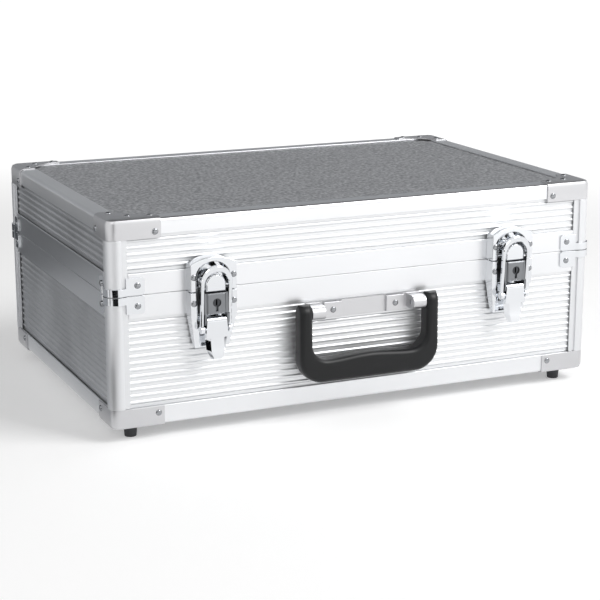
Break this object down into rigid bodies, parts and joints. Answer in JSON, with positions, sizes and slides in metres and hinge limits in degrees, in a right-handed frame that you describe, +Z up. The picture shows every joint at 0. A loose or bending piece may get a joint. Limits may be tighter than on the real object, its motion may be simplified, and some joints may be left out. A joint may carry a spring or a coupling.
{
  "type": "aluminium camera case",
  "caption": "Aluminium-framed camera case with ribbed panels, hinged lid, key-lock toggle latches, drop handle and padded compartments.",
  "frame": {"origin": "on the ground plane under the middle of the bounding box", "axes": "+Z up, -Y out of the front face with the latches and handle, +X to the right of a viewer who faces the front"},
  "size_m": [0.4096, 0.292, 0.1685],
  "materials": {
    "ribbed_panel": "brushed silver, ribbed",
    "hammered_panel": "hammered grey laminate",
    "frame": "satin anodised",
    "cap_steel": "satin nickel plated",
    "chromed": "bright plated",
    "lock_metal": "satin plated zinc",
    "plug_metal": "dark plated",
    "steel": "polished",
    "rubber": "moulded",
    "grip_plastic": "fine grain",
    "foam": "foam",
    "divider_cloth": "brushed cloth over foam"
  },
  "bodies": {
    "base": {"base_front_panel": "ribbed_panel", "base_rear_panel": "ribbed_panel", "base_left_panel": "ribbed_panel", "base_right_panel": "ribbed_panel", "base_bottom_panel": "hammered_panel", "bottom_edge_front": "frame", "bottom_edge_rear": "frame", "bottom_edge_left": "frame", "bottom_edge_right": "frame", "base_rim": "frame", "base_corner_posts": "frame", "bottom_corner_caps": "cap_steel", "base_corner_brackets": "chromed", "rubber_feet": "rubber", "foot_screws": "steel", "base_rivets": "steel", "handle_bracket": "chromed", "handle_pins": "steel", "latch_base_left": "chromed", "latch_base_right": "chromed", "lock_housing_left": "lock_metal", "lock_housing_right": "lock_metal", "lever_pins": "steel", "hinge_base_leaf_left": "chromed", "hinge_base_leaf_right": "chromed", "hinge_pins": "steel", "floor_pad": "foam", "wall_lining": "foam", "long_divider": "divider_cloth", "cross_dividers": "divider_cloth"},
    "lid": {"lid_front_panel": "ribbed_panel", "lid_rear_panel": "ribbed_panel", "lid_left_panel": "ribbed_panel", "lid_right_panel": "ribbed_panel", "lid_top_panel": "hammered_panel", "top_edge_front": "frame", "top_edge_rear": "frame", "top_edge_left": "frame", "top_edge_right": "frame", "lid_rim": "frame", "lid_corner_posts": "frame", "top_corner_caps": "cap_steel", "lid_corner_brackets": "chromed", "lid_rivets": "steel", "strike_hood_left": "chromed", "strike_hood_right": "chromed", "hinge_lid_leaf_left": "chromed", "hinge_lid_leaf_right": "chromed", "lid_pad": "foam"},
    "handle": {"handle_grip": "grip_plastic"},
    "lever_left": {"lever_left": "chromed", "bail_pin_left": "steel"},
    "bail_left": {"bail_left": "chromed"},
    "lock_plug_left": {"lock_plug_left": "plug_metal"},
    "lever_right": {"lever_right": "chromed", "bail_pin_right": "steel"},
    "bail_right": {"bail_right": "chromed"},
    "lock_plug_right": {"lock_plug_right": "plug_metal"}
  },
  "joints": [
    {"name": "lid_hinge", "type": "hinge", "parent": "base", "child": "lid", "pos_m": [0, 0.14254, 0.1105], "axis": [-1, 0, 0], "range_deg": [0, 100]},
    {"name": "handle_swing", "type": "hinge", "parent": "base", "child": "handle", "pos_m": [0, -0.13686, 0.085], "axis": [-1, 0, 0], "range_deg": [0, 95]},
    {"name": "lever_left_swing", "type": "hinge", "parent": "base", "child": "lever_left", "pos_m": [-0.126, -0.14076, 0.089], "axis": [-1, 0, 0], "range_deg": [0, 100]},
    {"name": "bail_left_swing", "type": "hinge", "parent": "lever_left", "child": "bail_left", "pos_m": [-0.126, -0.14126, 0.083], "axis": [-1, 0, 0], "range_deg": [-125, 0]},
    {"name": "key_left_turn", "type": "hinge", "parent": "base", "child": "lock_plug_left", "pos_m": [-0.126, -0.14326, 0.1032], "axis": [0, 1, 0], "range_deg": [0, 90]},
    {"name": "lever_right_swing", "type": "hinge", "parent": "base", "child": "lever_right", "pos_m": [0.126, -0.14076, 0.089], "axis": [-1, 0, 0], "range_deg": [0, 100]},
    {"name": "bail_right_swing", "type": "hinge", "parent": "lever_right", "child": "bail_right", "pos_m": [0.126, -0.14126, 0.083], "axis": [-1, 0, 0], "range_deg": [-125, 0]},
    {"name": "key_right_turn", "type": "hinge", "parent": "base", "child": "lock_plug_right", "pos_m": [0.126, -0.14326, 0.1032], "axis": [0, 1, 0], "range_deg": [0, 90]}
  ],
  "couplings": [
    {"joint": "bail_left_swing", "follows": "lever_left_swing", "ratio": -1.25},
    {"joint": "bail_right_swing", "follows": "lever_right_swing", "ratio": -1.25}
  ]
}
